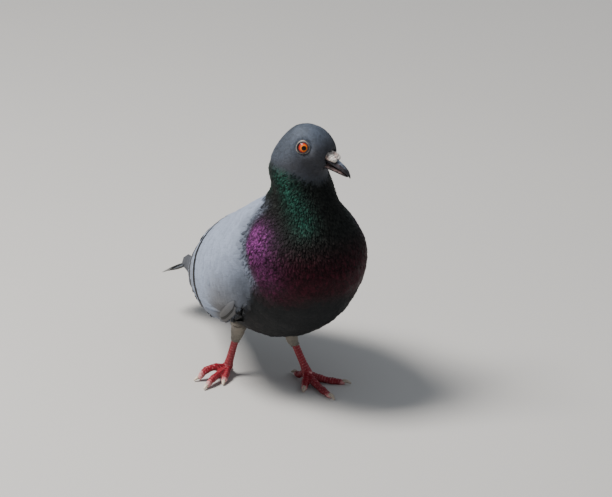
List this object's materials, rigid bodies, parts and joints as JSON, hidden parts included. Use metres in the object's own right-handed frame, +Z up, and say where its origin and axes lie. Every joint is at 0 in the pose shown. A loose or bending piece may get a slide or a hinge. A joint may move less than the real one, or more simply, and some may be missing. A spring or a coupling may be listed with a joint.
{
  "type": "pigeon",
  "caption": "Standing feral pigeon, walking with its breast full and its head turned to its left; blue-grey wings, glossy green and purple neck, red legs.",
  "frame": {"origin": "floor point under the middle of the whole bird's box, between the feet and the tail", "axes": "+Z up; the bird faces -Y, its tail points to +Y, and its left side is +X"},
  "size_m": [0.1084, 0.2324, 0.203],
  "materials": {
    "feathers": "soft matt feathers, glossy green and purple on the neck",
    "wing_feathers": "smooth matt feathers",
    "flight_feathers": "smooth matt stiff feathers",
    "leg_skin": "dry scaly skin",
    "claw": "horn, satin",
    "bill": "horn, satin",
    "cere": "powdery, rough",
    "eye": "wet, clear gloss"
  },
  "bodies": {
    "root": {"trunk": "feathers", "neck": "feathers", "head": "feathers", "thigh_left": "feathers", "thigh_right": "feathers", "wing_coverts_left": "wing_feathers", "wing_coverts_right": "wing_feathers", "wing_secondaries_left": "wing_feathers", "wing_secondaries_right": "wing_feathers", "wing_primaries_left": "flight_feathers", "wing_primaries_right": "flight_feathers", "tail": "flight_feathers", "shank_left": "leg_skin", "shank_right": "leg_skin", "toe_hind_left": "leg_skin", "toe_inner_left": "leg_skin", "toe_middle_left": "leg_skin", "toe_outer_left": "leg_skin", "toe_hind_right": "leg_skin", "toe_inner_right": "leg_skin", "toe_middle_right": "leg_skin", "toe_outer_right": "leg_skin", "claw_hind_left": "claw", "claw_inner_left": "claw", "claw_middle_left": "claw", "claw_outer_left": "claw", "claw_hind_right": "claw", "claw_inner_right": "claw", "claw_middle_right": "claw", "claw_outer_right": "claw", "bill_upper": "bill", "bill_lower": "bill", "cere": "cere", "eye_left": "eye", "eye_right": "eye"}
  },
  "joints": []
}
